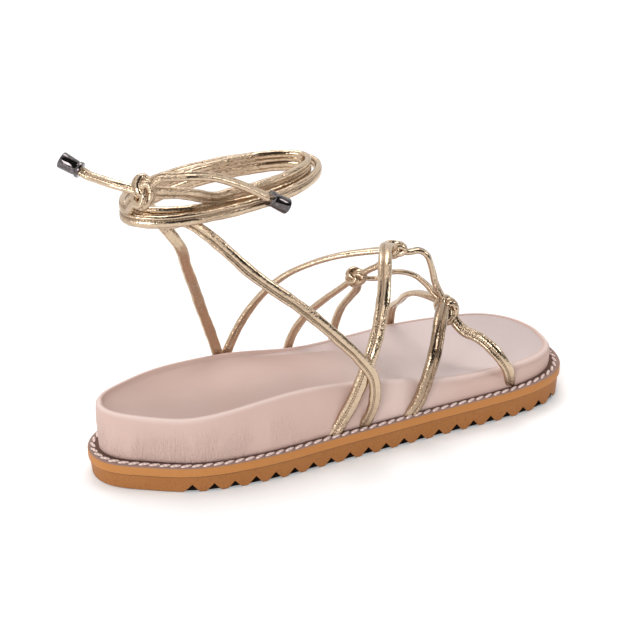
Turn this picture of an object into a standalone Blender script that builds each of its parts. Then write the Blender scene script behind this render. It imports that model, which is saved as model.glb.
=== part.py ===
"""Lace-up flatform sandal for a left foot, empty and standing on its sole.

The toe points to +X, the inner (medial) side of the foot is at -Y and the outer (lateral) side
at +Y. Z = 0 is the floor, and the origin is the middle of the flat under the heel. The shapes are
made with x = 0 at the heel's rear end, and set_origin moves them last. All sizes are in metres.
"""
import math

import bmesh
import bpy
from mathutils import Matrix, Vector

# Sole
SOLE_LENGTH = 0.262
BALL_WIDTH = 0.084
SOLE_HEEL_HEIGHT = 0.0127
SOLE_TOE_HEIGHT = 0.0159
TOE_SPRING = 0.0012
TOE_SPRING_START = 0.8  # share of the length
BAND_HEIGHT = 0.0042
BAND_STEP = 0.0006
SOLE_TAPER = 0.0009
HEEL_FLAT = 0.0345
HEEL_REST = 0.0200
TREAD_PITCH = 0.01035
TREAD_DEPTH = 0.0042
TREAD_LAND = 0.0024
TREAD_END = 0.0040

# Welt board, footbed and insole
SEAT_GAP = 0.0003
WELT_THICK = 0.0008
FOOTBED_INSET = 0.0049
FOOTBED_BULGE = 0.0004
RIM_HEIGHT = 0.0395
CUP_DEPTH = 0.0110
CUP_POWER = 2.6  # higher is flatter across the middle
FOOTBED_WALL = ((0.0, 0.0), (0.4, FOOTBED_BULGE), (0.8, FOOTBED_BULGE), (1.0, 0.0))  # share, bulge
INSOLE_THICK = 0.0018
INSOLE_EDGE = 0.0007

# Straps, knots and ankle tie
STRAP_DIAMETER = 0.0050
INSTEP_HEIGHT = 0.094
KNOT_RADIUS = 0.0042
TIE_DIAMETER = 0.0045
ANKLE_HEIGHT = 0.1385
WRAP_CENTRE = 0.0753
WRAP_LENGTH = 0.097
WRAP_WIDTH = 0.0326
WRAP_YAW = 13.75  # degrees
WRAP_PITCH = 0.0049
ANKLE_KNOT_RADIUS = 0.0052
TIP_DIAMETER = 0.0070
TIP_LENGTH = 0.0105
TIP_WALL = 0.0010
TIP_HOLE = 0.0035
TIP_COLLAR = 0.0018
TIP_COLLAR_RISE = 0.0004

# Detail of the meshes
SIDE_STEPS = 36
TUBE_STEP = 0.0060
WRAP_STEP = 0.0110
BED_SHARES = (0.93, 0.82, 0.66, 0.46, 0.22)  # rings of the footbed's upper face, from rim to middle

# Fullness is the half width over the ball width, divided by the half width of a unit ellipse.
OUTLINE = (
    # along, medial, lateral
    (0.00, 0.668, 0.668),
    (0.06, 0.576, 0.556),
    (0.16, 0.611, 0.572),
    (0.30, 0.555, 0.505),
    (0.44, 0.489, 0.440),
    (0.58, 0.469, 0.495),
    (0.70, 0.485, 0.589),
    (0.82, 0.558, 0.698),
    (0.93, 0.714, 0.861),
    (1.00, 1.030, 1.030),
)

# Height of the footbed's upper edge as a share of RIM_HEIGHT.
RIM = (
    # along, medial, lateral
    (0.00, 1.000, 1.000),
    (0.15, 0.960, 0.940),
    (0.35, 1.110, 0.900),
    (0.50, 1.030, 0.800),
    (0.70, 0.765, 0.765),
    (0.85, 0.735, 0.730),
    (1.00, 0.735, 0.735),
)

# Depth of the foot's hollow below the upper edge as a share of CUP_DEPTH.
HOLLOW = (
    # along, depth
    (0.00, 0.00),
    (0.06, 0.45),
    (0.16, 0.95),
    (0.28, 1.00),
    (0.44, 0.62),
    (0.58, 0.30),
    (0.70, 0.18),
    (0.85, 0.15),
    (0.95, 0.08),
    (1.00, 0.00),
)

# Rows of a strap are (along, side, rise): the share of the sole's length, the share of the way from
# the middle to the footbed's wall (-1 medial, 1 lateral), and the height, where -1 is the welt,
# 0 the footbed's upper edge and 1 the instep.
TOP_KNOT = (0.635, 0.07, 0.96)
FRONT_KNOT = (0.740, -0.23, 0.45)
OUTER_KNOT = (0.579, 0.39, 0.67)

FOOT_STRAPS = {
    "instep_medial": (
        TOP_KNOT, (0.608, -0.05, 1.06), (0.587, -0.41, 1.00), (0.563, -0.73, 0.81),
        (0.546, -0.88, 0.65), (0.531, -0.98, 0.48), (0.505, -1.04, 0.21), (0.472, -1.02, -0.29),
        (0.424, -1.00, -1.10)),
    "ball_medial": (
        FRONT_KNOT, (0.720, -0.36, 0.50), (0.685, -0.68, 0.43), (0.654, -0.96, 0.27),
        (0.636, -1.03, 0.09), (0.616, -1.02, -0.53), (0.589, -1.00, -1.15)),
    "toe_medial": (
        FRONT_KNOT, (0.753, -0.50, 0.31), (0.780, -0.73, 0.24), (0.799, -0.90, 0.17),
        (0.817, -1.03, 0.03), (0.827, -1.03, -0.39), (0.829, -1.00, -1.20)),
    "top_to_front": (
        TOP_KNOT, (0.664, 0.02, 0.93), (0.686, -0.03, 0.94), (0.700, -0.09, 0.90),
        (0.706, -0.12, 0.79), (0.712, -0.15, 0.66), (0.724, -0.20, 0.54), FRONT_KNOT),
    "outer_to_front": (
        OUTER_KNOT, (0.620, 0.31, 0.65), (0.645, 0.25, 0.70), (0.670, 0.20, 0.70),
        (0.692, 0.13, 0.67), (0.708, 0.03, 0.59), (0.723, -0.14, 0.51), FRONT_KNOT),
    "outer_to_top": (OUTER_KNOT, (0.600, 0.25, 0.76), (0.615, 0.16, 0.82), TOP_KNOT),
    "ball_lateral": (
        (0.696, 1.00, -1.20), (0.701, 1.02, -0.30), (0.700, 0.92, 0.17), (0.703, 0.72, 0.31),
        (0.703, 0.50, 0.41), (0.709, 0.28, 0.48), (0.722, 0.00, 0.50), FRONT_KNOT),
    "heel_lateral": (
        TOP_KNOT, (0.597, 0.20, 0.94), (0.526, 0.46, 0.88), (0.479, 0.68, 0.80),
        (0.443, 0.84, 0.70), (0.413, 0.94, 0.58), (0.385, 1.00, 0.46), (0.356, 1.04, 0.24),
        (0.333, 1.03, -0.05), (0.322, 1.00, -1.15)),
    "waist_lateral": (
        OUTER_KNOT, (0.558, 0.55, 0.57), (0.530, 0.75, 0.44), (0.501, 0.90, 0.31),
        (0.473, 1.00, 0.14), (0.456, 1.03, -0.20), (0.448, 1.00, -1.15)),
    "arch_lateral": (
        OUTER_KNOT, (0.588, 0.52, 0.54), (0.575, 0.70, 0.43), (0.566, 0.86, 0.30),
        (0.561, 0.99, 0.10), (0.558, 1.02, -0.30), (0.556, 1.00, -1.15)),
}
FOOT_KNOTS = (
    # place, turn about Z in degrees
    (TOP_KNOT, 20.0),
    (FRONT_KNOT, -60.0),
    (OUTER_KNOT, 75.0),
)

# The ankle ties rise from the welt (-1) past the footbed's edge (0) to the ankle wrap (1).
TIE_MEDIAL = (
    (0.497, -1.00, -1.15), (0.503, -1.05, -0.80), (0.516, -1.13, -0.30), (0.517, -1.18, 0.03),
    (0.502, -1.20, 0.11), (0.445, -1.14, 0.28), (0.383, -1.03, 0.45), (0.313, -0.88, 0.64),
    (0.271, -0.79, 0.78), (0.239, -0.72, 0.88), (0.215, -0.64, 0.93),
)
TIE_LATERAL = (
    (0.302, 1.00, -1.15), (0.308, 1.05, -0.40), (0.309, 1.04, 0.05), (0.299, 1.01, 0.12),
    (0.276, 0.93, 0.27), (0.250, 0.77, 0.47), (0.223, 0.55, 0.65), (0.202, 0.42, 0.74),
)

# The wrap is an oval round the ankle, turned by WRAP_YAW. Each tie's turns go from one angle on it to
# another, in degrees from the toe end, lie so many pitches outside it and rise one pitch a turn.
WRAPS = {
    # tie: first angle, last angle, out, rise at the first angle
    "medial": (232.0, -470.0, 0.0, 0.0),
    "lateral": (130.0, 545.0, 1.15, 0.35),
}

# Places near the ankle are (along, across, rise): shares of the oval's half length and half width
# from its middle, and the height above ANKLE_HEIGHT in pitches.
ANKLE_KNOT = (-1.05, -0.69, 3.16)
TIE_LATERAL_FOOT = ((-0.56, 1.10, -2.40),)
TIE_LATERAL_TOP = ((-1.12, -0.45, 2.20),)
TIE_MEDIAL_TOP = ((-0.66, -0.96, 2.35), (-0.86, -0.86, 2.80))
END_SHORT = ((-1.25, -0.13, 3.86), (-1.33, 0.30, 4.12), (-1.39, 0.60, 4.31))
END_LONG = (
    (-0.93, -0.91, 4.39), (-0.77, -1.08, 4.37), (-0.60, -1.27, 4.24), (-0.39, -1.42, 3.65),
    (-0.15, -1.60, 2.37), (0.05, -1.74, 1.10))
TIP_AIM_SHORT = (-0.58, 0.50, 0.36)
TIP_AIM_LONG = (0.84, 0.0, -0.54)

# Loops of a knot: tilt and spin in degrees, and size as a share of the knot's radius.
KNOT_LOOPS = ((0.0, 0.0, 1.0), (70.0, 25.0, 0.92), (80.0, 115.0, 0.85))
ANKLE_KNOT_TURN = 35.0


def clear_scene():
    for item in list(bpy.data.objects):
        bpy.data.objects.remove(item, do_unlink=True)


def smooth(rows, column, value, key=float):
    """Reads a table between its rows, on a curve that has no kinks."""
    knots = [key(row[0]) for row in rows]
    heights = [row[column] for row in rows]
    last = len(rows) - 1
    at = key(value)
    row = 0
    while row < last - 1 and at > knots[row + 1]:
        row += 1

    def slope(index):
        low, high = max(index - 1, 0), min(index + 1, last)
        return (heights[high] - heights[low]) / (knots[high] - knots[low])

    width = knots[row + 1] - knots[row]
    t = (at - knots[row]) / width
    start = heights[row] * (2 * t ** 3 - 3 * t ** 2 + 1) + slope(row) * width * (t ** 3 - 2 * t ** 2 + t)
    end = heights[row + 1] * (3 * t ** 2 - 2 * t ** 3) + slope(row + 1) * width * (t ** 3 - t ** 2)
    return start + end


def ellipse_turn(along):
    """Angle on a unit ellipse whose ends are the heel and the toe."""
    return math.acos(1 - 2 * min(max(along, 0.0), 1.0))


def along_of(x):
    """Share of the sole's length at x, from the heel (0) to the toe (1)."""
    return min(max(x / SOLE_LENGTH, 0.0), 1.0)


def half_width(along, side):
    """Distance from the long axis to the sole's outline, on the medial (-1) or lateral (1) side."""
    fullness = smooth(OUTLINE, 1 if side < 0 else 2, along, ellipse_turn)
    return BALL_WIDTH * fullness * math.sin(ellipse_turn(along))


def rim_height(along, share):
    """Height of the footbed's upper edge, between medial (share -1) and lateral (share 1)."""
    blend = min(max((share + 1) / 2, 0.0), 1.0)
    low = smooth(RIM, 1, along)
    high = smooth(RIM, 2, along)
    return RIM_HEIGHT * (low + (high - low) * blend)


def toe_lift(along):
    return TOE_SPRING * max((along - TOE_SPRING_START) / (1 - TOE_SPRING_START), 0.0) ** 2


def sole_top(along):
    """Height of the outsole's upper face above the floor."""
    return SOLE_HEEL_HEIGHT + (SOLE_TOE_HEIGHT - SOLE_HEEL_HEIGHT) * along + toe_lift(along)


def welt_top(along):
    return sole_top(along) + SEAT_GAP + WELT_THICK


def footbed_top(x, y):
    """Height of the surface that the foot stands on."""
    along = along_of(x)
    side = -1 if y < 0 else 1
    wall = max(half_width(along, side) - FOOTBED_INSET, SEAT_GAP)
    share = min(max(y / wall, -1.0), 1.0)
    hollow = CUP_DEPTH * smooth(HOLLOW, 1, along) * (1 - abs(share) ** CUP_POWER)
    return rim_height(along, share) - hollow


def outline(inset):
    """Closed outline, heel, medial side, toe, lateral side, moved inwards by the inset."""
    points = []
    for step in range(2 * SIDE_STEPS):
        side = -1 if step <= SIDE_STEPS else 1
        count = step if side < 0 else 2 * SIDE_STEPS - step
        along = (1 - math.cos(math.pi * count / SIDE_STEPS)) / 2
        points.append(Vector((SOLE_LENGTH * along, side * half_width(along, side), 0.0)))
    moved = []
    for index, point in enumerate(points):
        tangent = points[(index + 1) % len(points)] - points[index - 1]
        normal = Vector((-tangent.y, tangent.x, 0.0)).normalized()
        moved.append(point + normal * inset)
    return moved


def ring(inset, height):
    """An outline whose points lie at height(x, y)."""
    return [Vector((p.x, p.y, height(p.x, p.y))) for p in outline(inset)]


def level(height):
    """Turns a height that depends on the share of the length into one that depends on x and y."""
    return lambda x, y: height(along_of(x))


def shrunk_ring(inset, share, height):
    """An outline drawn in towards the footbed's middle, at height(x, y)."""
    middle = Vector((SOLE_LENGTH / 2, 0.0, 0.0))
    drawn = [middle + (p - middle) * share for p in outline(inset)]
    return [Vector((p.x, p.y, height(p.x, p.y))) for p in drawn]


def add_object(name, mesh, collection):
    item = bpy.data.objects.new(name, mesh)
    collection.objects.link(item)
    return item


def loft(name, rings, collection):
    """A closed body through outlines that run from the lowest to the highest."""
    bm = bmesh.new()
    rows = [[bm.verts.new(point) for point in points] for points in rings]
    count = len(rows[0])
    for low, high in zip(rows, rows[1:]):
        for index in range(count):
            after = (index + 1) % count
            bm.faces.new((low[index], low[after], high[after], high[index]))
    for row, turned in ((rows[0], True), (rows[-1], False)):
        for index in range(count // 2):
            corners = [row[index], row[index + 1], row[-index - 1], row[-index % count]]
            corners = list(dict.fromkeys(corners))
            if turned:
                corners.reverse()
            bm.faces.new(corners)
    bmesh.ops.triangulate(bm, faces=bm.faces, quad_method="SHORT_EDGE")
    bmesh.ops.recalc_face_normals(bm, faces=bm.faces)
    mesh = bpy.data.meshes.new(name)
    bm.to_mesh(mesh)
    bm.free()
    return add_object(name, mesh, collection)


def smooth_route(points, step):
    """Points about a step apart on a smooth curve through the given ones."""
    placed = [points[0] * 2 - points[1]] + list(points) + [points[-1] * 2 - points[-2]]
    route = []
    for before, start, end, after in zip(placed, placed[1:], placed[2:], placed[3:]):
        count = max(1, round((end - start).length / step))
        for part in range(count):
            t = part / count
            bend = (end - before) * t + (before * 2 - start * 5 + end * 4 - after) * t ** 2
            bend += (start * 3 - before - end * 3 + after) * t ** 3
            route.append(start + bend / 2)
    route.append(points[-1].copy())
    return route


def tube(name, route, diameter, collection):
    """A round strap along a route, as a closed mesh."""
    curve = bpy.data.curves.new(name, "CURVE")
    curve.dimensions = "3D"
    curve.bevel_depth = diameter / 2
    curve.bevel_resolution = 2
    curve.use_fill_caps = True
    spline = curve.splines.new("POLY")
    spline.points.add(len(route) - 1)
    for slot, point in zip(spline.points, route):
        slot.co = (*point, 1.0)
    guide = bpy.data.objects.new(name, curve)
    bpy.context.scene.collection.objects.link(guide)
    bpy.context.view_layer.update()
    evaluated = guide.evaluated_get(bpy.context.evaluated_depsgraph_get())
    mesh = bpy.data.meshes.new_from_object(evaluated)
    bpy.data.objects.remove(guide, do_unlink=True)
    bm = bmesh.new()
    bm.from_mesh(mesh)
    bmesh.ops.remove_doubles(bm, verts=bm.verts, dist=0.00001)
    bm.to_mesh(mesh)
    bm.free()
    return add_object(name, mesh, collection)


def knot_lumps(name, place, radius, diameter, turn, collection):
    """Three crossed loops of strap round a solid heart."""
    facing = Matrix.Rotation(math.radians(turn), 4, "Z")
    lumps = []
    for tilt, spin, size in KNOT_LOOPS:
        bpy.ops.mesh.primitive_torus_add(
            major_radius=radius * size, minor_radius=diameter / 2,
            major_segments=16, minor_segments=8)
        loop = bpy.context.active_object
        leaning = Matrix.Rotation(math.radians(spin), 4, "Z") @ Matrix.Rotation(math.radians(tilt), 4, "X")
        loop.data.transform(Matrix.Translation(place) @ facing @ leaning)
        lumps.append(loop)
    bpy.ops.mesh.primitive_uv_sphere_add(segments=12, ring_count=8, radius=radius)
    heart = bpy.context.active_object
    heart.data.transform(Matrix.Translation(place) @ facing)
    lumps.append(heart)
    for number, lump in enumerate(lumps):
        for owner in list(lump.users_collection):
            owner.objects.unlink(lump)
        lump.name = f"{name}_lump_{number}"
        collection.objects.link(lump)
    return lumps


def boolean(target, other, operation):
    step = target.modifiers.new(operation.title(), "BOOLEAN")
    step.operation = operation
    step.solver = "EXACT"
    step.object = other


def fused(name, pieces, collection):
    """One closed mesh of pieces that cross each other, and themselves where they bend tightly."""
    first = pieces[0]
    crossing = bpy.data.collections.new(f"{name}_crossing")
    bpy.context.scene.collection.children.link(crossing)
    for other in pieces[1:]:
        crossing.objects.link(other)
    step = first.modifiers.new("Union", "BOOLEAN")
    step.operation = "UNION"
    step.solver = "EXACT"
    step.use_self = True
    step.operand_type = "COLLECTION"
    step.collection = crossing
    bpy.context.view_layer.update()
    evaluated = first.evaluated_get(bpy.context.evaluated_depsgraph_get())
    mesh = bpy.data.meshes.new_from_object(evaluated)
    for piece in pieces:
        bpy.data.objects.remove(piece, do_unlink=True)
    bpy.data.collections.remove(crossing)
    return add_object(name, mesh, collection)


def strap_place(row, top, diameter):
    """World place of a strap's row, whose rise of 1 is at the height top."""
    along, share, rise = row
    side = -1 if share < 0 else 1
    wall = half_width(along, side) - FOOTBED_INSET + SEAT_GAP + diameter / 2
    rim = rim_height(along, share)
    height = rim + rise * ((top - rim) if rise > 0 else (rim - welt_top(along)))
    return Vector((SOLE_LENGTH * along, share * wall, height))


def ankle_place(row):
    along, across, rise = row
    yaw = Matrix.Rotation(math.radians(WRAP_YAW), 3, "Z")
    flat = yaw @ Vector((along * WRAP_LENGTH / 2, across * WRAP_WIDTH / 2, 0.0))
    return flat + Vector((WRAP_CENTRE, 0.0, ANKLE_HEIGHT + rise * WRAP_PITCH))


def wrap_route(first, last, out, rise):
    """Oval turns round the ankle from one angle to another, rising one pitch a turn."""
    half_length = WRAP_LENGTH / 2 + out * WRAP_PITCH
    half_across = WRAP_WIDTH / 2 + out * WRAP_PITCH
    turned = math.radians(abs(last - first))
    steps = round(turned * math.hypot(half_length, half_across) / math.sqrt(2) / WRAP_STEP)
    places = []
    for step in range(steps + 1):
        done = step / steps
        angle = math.radians(first + (last - first) * done)
        places.append(ankle_place((
            half_length / (WRAP_LENGTH / 2) * math.cos(angle),
            half_across / (WRAP_WIDTH / 2) * math.sin(angle),
            rise + turned * done / math.tau)))
    return places


def material(name, colour, roughness, metallic=0.0):
    finish = bpy.data.materials.new(name)
    finish.use_nodes = True
    shader = finish.node_tree.nodes["Principled BSDF"]
    shader.inputs["Base Color"].default_value = (*colour, 1.0)
    shader.inputs["Roughness"].default_value = roughness
    shader.inputs["Metallic"].default_value = metallic
    return finish


def finish_piece(item, finish, angle=40.0):
    item.data.materials.clear()
    item.data.materials.append(finish)
    item.data.shade_smooth()
    item.data.set_sharp_from_angle(angle=math.radians(angle))


def hide_cutter(item):
    item.hide_render = True
    item.display_type = "WIRE"


def tread_cutter(cutters):
    """Prisms across the sole that leave a row of flat-topped teeth."""
    bm = bmesh.new()
    reach = BALL_WIDTH
    half_mouth = (TREAD_PITCH - TREAD_LAND) / 2
    below = TREAD_DEPTH / 2
    spread = half_mouth * (1 + below / TREAD_DEPTH)
    count = int((SOLE_LENGTH - TREAD_END - HEEL_FLAT) / TREAD_PITCH)
    for number in range(count):
        centre = HEEL_FLAT + TREAD_PITCH * (number + 0.5)
        lift = toe_lift(centre / SOLE_LENGTH)
        ends = []
        for y in (-reach, reach):
            corners = ((centre - spread, lift - below), (centre + spread, lift - below),
                       (centre, lift + TREAD_DEPTH))
            ends.append([bm.verts.new((x, y, z)) for x, z in corners])
        near, far = ends
        bm.faces.new(near)
        bm.faces.new(far[::-1])
        for index in range(3):
            after = (index + 1) % 3
            bm.faces.new((near[after], near[index], far[index], far[after]))
    bmesh.ops.recalc_face_normals(bm, faces=bm.faces)
    mesh = bpy.data.meshes.new("tread_cutter")
    bm.to_mesh(mesh)
    bm.free()
    cutter = add_object("tread_cutter", mesh, cutters)
    hide_cutter(cutter)
    return cutter


def make_outsole(parts, cutters):
    """Rubber sole: upper band, a step, a lower band that leans in, and toothed tread."""
    rings = (
        ring(BAND_STEP + SOLE_TAPER, level(toe_lift)),
        ring(BAND_STEP, level(lambda along: sole_top(along) - BAND_HEIGHT)),
        ring(0.0, level(lambda along: sole_top(along) - BAND_HEIGHT + BAND_STEP)),
        ring(0.0, level(sole_top)),
    )
    sole = loft("outsole", rings, parts)
    boolean(sole, tread_cutter(cutters), "DIFFERENCE")
    return sole


def make_welt(parts):
    """Thin board between sole and footbed, whose edge shows all round."""
    lower = ring(0.0, level(lambda along: sole_top(along) + SEAT_GAP))
    return loft("welt", (lower, ring(0.0, level(welt_top))), parts)


def footbed_rings(grow):
    """Side and upper outlines of the footbed, grown on all sides."""
    under = INSOLE_THICK + SEAT_GAP - grow

    def wall(share):
        def height(x, y):
            base = welt_top(along_of(x)) + SEAT_GAP - grow
            return base + (footbed_top(x, y) - under - base) * share
        return height

    rings = [ring(FOOTBED_INSET - bulge - grow, wall(share)) for share, bulge in FOOTBED_WALL]
    rings += [shrunk_ring(FOOTBED_INSET, share, wall(1.0)) for share in BED_SHARES]
    return rings


def make_insole(parts):
    """Leather top cover that follows the hollow of the footbed."""
    def height(lift):
        return lambda x, y: footbed_top(x, y) - INSOLE_THICK + lift

    rings = [shrunk_ring(FOOTBED_INSET, share, height(0.0)) for share in reversed(BED_SHARES)]
    rings += [ring(FOOTBED_INSET, height(0.0)), ring(FOOTBED_INSET, height(INSOLE_THICK - INSOLE_EDGE))]
    rings += [ring(FOOTBED_INSET + INSOLE_EDGE, height(INSOLE_THICK))]
    rings += [shrunk_ring(FOOTBED_INSET, share, height(INSOLE_THICK)) for share in BED_SHARES]
    return loft("insole", rings, parts)


def seat_cutters(cutters):
    """Bodies just larger than the welt and the footbed, which trim the straps' ends."""
    beyond = -4 * STRAP_DIAMETER
    board = loft("seat_cutter", (
        ring(beyond, level(lambda along: beyond)),
        ring(beyond, level(lambda along: welt_top(along) + SEAT_GAP))), cutters)
    bed = loft("footbed_cutter", footbed_rings(SEAT_GAP), cutters)
    for item in (board, bed):
        hide_cutter(item)
    return board, bed


def make_upper(parts, work, trims):
    """Foot straps with their three knots, fused where they cross."""
    pieces = []
    for name, rows in FOOT_STRAPS.items():
        places = [strap_place(row, INSTEP_HEIGHT, STRAP_DIAMETER) for row in rows]
        pieces.append(tube(name, smooth_route(places, TUBE_STEP), STRAP_DIAMETER, work))
    for number, (row, turn) in enumerate(FOOT_KNOTS):
        place = strap_place(row, INSTEP_HEIGHT, STRAP_DIAMETER)
        pieces += knot_lumps(f"knot_{number}", place, KNOT_RADIUS, STRAP_DIAMETER, turn, work)
    upper = fused("upper", pieces, parts)
    for trim in trims:
        boolean(upper, trim, "DIFFERENCE")
    return upper


def make_ties(parts, trims, knot_trim):
    """Two long straps that rise from the sole and wind round the ankle to the knot."""
    ties = []
    for side, rise, foot, top in (
            ("medial", TIE_MEDIAL, (), TIE_MEDIAL_TOP),
            ("lateral", TIE_LATERAL, TIE_LATERAL_FOOT, TIE_LATERAL_TOP)):
        places = [strap_place(row, ANKLE_HEIGHT, TIE_DIAMETER) for row in rise]
        places += [ankle_place(row) for row in foot]
        places += wrap_route(*WRAPS[side])
        places += [ankle_place(row) for row in (*top, ANKLE_KNOT)]
        tie = tube(f"ankle_tie_{side}", smooth_route(places, WRAP_STEP), TIE_DIAMETER, parts)
        for trim in (*trims, knot_trim):
            boolean(tie, trim, "DIFFERENCE")
        ties.append(tie)
    return ties


def make_tip(name, start, direction, parts):
    """Turned metal end cap: a collar at the strap, a barrel and an open outer end."""
    radius = TIP_DIAMETER / 2
    collar = radius + TIP_COLLAR_RISE
    bore = radius - TIP_WALL
    profile = (
        (0.0, 0.0), (collar, 0.0), (collar, TIP_COLLAR), (radius, TIP_COLLAR),
        (radius, TIP_LENGTH), (bore, TIP_LENGTH), (bore, TIP_LENGTH - TIP_HOLE),
        (0.0, TIP_LENGTH - TIP_HOLE))
    bm = bmesh.new()
    points = [bm.verts.new((x, 0.0, z)) for x, z in profile]
    edges = [bm.edges.new(pair) for pair in zip(points, points[1:])]
    bmesh.ops.spin(bm, geom=points + edges, cent=(0, 0, 0), axis=(0, 0, 1),
                   angle=math.tau, steps=20, use_merge=True)
    bmesh.ops.remove_doubles(bm, verts=bm.verts, dist=0.00001)
    bmesh.ops.recalc_face_normals(bm, faces=bm.faces)
    aim = direction.to_track_quat("Z", "Y").to_matrix().to_4x4()
    bmesh.ops.transform(bm, matrix=Matrix.Translation(start) @ aim, verts=bm.verts)
    mesh = bpy.data.meshes.new(name)
    bm.to_mesh(mesh)
    bm.free()
    return add_object(name, mesh, parts)


def make_end(name, rows, tip_name, aim, parts, knot_trim):
    """A free end of the tie with the metal tip that closes it."""
    places = [ankle_place(ANKLE_KNOT)] + [ankle_place(row) for row in rows]
    places.append(places[-1] + Vector(aim).normalized() * TIE_DIAMETER)
    route = smooth_route(places, TUBE_STEP)
    end = tube(name, route, TIE_DIAMETER, parts)
    boolean(end, knot_trim, "DIFFERENCE")
    heading = (route[-1] - route[-2]).normalized()
    tip = make_tip(tip_name, route[-1] + heading * SEAT_GAP, heading, parts)
    return end, tip


def set_origin(collections):
    """Moves every mesh so that the origin is the middle of the flat under the heel."""
    for collection in collections:
        for item in collection.objects:
            item.data.transform(Matrix.Translation((-HEEL_REST, 0.0, 0.0)))


def main():
    clear_scene()
    parts = bpy.data.collections.new("gladiator_sandal")
    cutters = bpy.data.collections.new("cutters")
    for collection in (parts, cutters):
        bpy.context.scene.collection.children.link(collection)

    caramel = material("caramel_rubber", (0.46, 0.20, 0.06), 0.6)
    board = material("brown_welt_board", (0.16, 0.09, 0.07), 0.6)
    nude = material("nude_wrap_leather", (0.66, 0.44, 0.37), 0.5)
    lilac = material("nude_insole_leather", (0.62, 0.44, 0.41), 0.4)
    gold = material("gold_foil_leather", (0.83, 0.66, 0.44), 0.25, 1.0)
    gunmetal = material("gunmetal_tip", (0.06, 0.055, 0.06), 0.2, 1.0)

    finish_piece(make_outsole(parts, cutters), caramel, 25.0)
    finish_piece(make_welt(parts), board, 25.0)
    footbed = loft("footbed", footbed_rings(0.0), parts)
    finish_piece(footbed, nude)
    finish_piece(make_insole(parts), lilac)

    trims = seat_cutters(cutters)
    finish_piece(make_upper(parts, cutters, trims), gold)

    knot_place = ankle_place(ANKLE_KNOT)
    knot = fused("ankle_knot", knot_lumps(
        "ankle_knot", knot_place, ANKLE_KNOT_RADIUS, TIE_DIAMETER, ANKLE_KNOT_TURN, cutters), parts)
    finish_piece(knot, gold)
    knot_trim = fused("knot_cutter", knot_lumps(
        "knot_cutter", knot_place, ANKLE_KNOT_RADIUS, TIE_DIAMETER + 2 * SEAT_GAP, ANKLE_KNOT_TURN,
        cutters), cutters)
    hide_cutter(knot_trim)
    for tie in make_ties(parts, trims, knot_trim):
        finish_piece(tie, gold)
    for name, rows, tip_name, aim in (
            ("tie_end_short", END_SHORT, "tie_tip_short", TIP_AIM_SHORT),
            ("tie_end_long", END_LONG, "tie_tip_long", TIP_AIM_LONG)):
        end, tip = make_end(name, rows, tip_name, aim, parts, knot_trim)
        finish_piece(end, gold)
        finish_piece(tip, gunmetal)
    set_origin((parts, cutters))


main()
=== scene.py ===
"""Looks of a lace-up flatform sandal: leather-wrapped footbed on a toothed caramel sole, gold foil
cords knotted over the foot and wound round the ankle, and gunmetal tips on their free ends.

All sizes are in metres. The toe points to +X, the inner side of the foot is at -Y, Z = 0 is the
floor and the origin is the middle of the flat under the heel.
"""
import math

import bmesh
import bpy
from mathutils import Matrix, Vector


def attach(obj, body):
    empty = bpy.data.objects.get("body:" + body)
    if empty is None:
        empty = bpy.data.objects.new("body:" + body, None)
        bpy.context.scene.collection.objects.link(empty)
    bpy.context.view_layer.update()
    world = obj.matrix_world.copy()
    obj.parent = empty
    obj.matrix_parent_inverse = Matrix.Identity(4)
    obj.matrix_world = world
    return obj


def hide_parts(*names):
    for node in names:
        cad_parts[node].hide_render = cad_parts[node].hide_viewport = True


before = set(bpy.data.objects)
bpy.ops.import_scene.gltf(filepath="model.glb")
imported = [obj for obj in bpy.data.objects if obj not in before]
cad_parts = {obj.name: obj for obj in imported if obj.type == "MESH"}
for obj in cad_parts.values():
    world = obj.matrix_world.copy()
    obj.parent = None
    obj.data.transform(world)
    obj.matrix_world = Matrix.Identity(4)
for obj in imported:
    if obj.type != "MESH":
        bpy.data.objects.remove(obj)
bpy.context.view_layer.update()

# ---------------------------------------------------------------------------------------------
# Camera. It looks down on the inner side from behind the heel, from about 0.95 m, with a long
# lens, so that the sole runs up and away to the right.
CAMERA_AZIMUTH, CAMERA_ELEVATION, CAMERA_ROLL = -23.41, 25.53, -0.51
CAMERA_AIM = Vector((0.1554, 0.1173, 0.0))
CAMERA_DISTANCE = 0.950
FOCAL_PIXELS, IMAGE_PIXELS, SENSOR = 1589.0, 640.0, 36.0

turn, rise, roll = (math.radians(a) for a in (CAMERA_AZIMUTH, CAMERA_ELEVATION, CAMERA_ROLL))
level_right = Vector((math.cos(turn), math.sin(turn), 0.0))
to_camera = Vector((math.sin(turn) * math.cos(rise), -math.cos(turn) * math.cos(rise), math.sin(rise)))
level_up = to_camera.cross(level_right)
right = level_right * math.cos(roll) + level_up * math.sin(roll)
up = level_up * math.cos(roll) - level_right * math.sin(roll)
lens = bpy.data.cameras.new("camera")
lens.sensor_width = SENSOR
lens.lens = SENSOR * FOCAL_PIXELS / IMAGE_PIXELS
camera = bpy.data.objects.new("camera", lens)
camera.matrix_world = Matrix.Translation(CAMERA_AIM + to_camera * CAMERA_DISTANCE) @ Matrix(
    (right, up, to_camera)).transposed().to_4x4()
bpy.context.scene.collection.objects.link(camera)
bpy.context.scene.camera = camera

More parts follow.
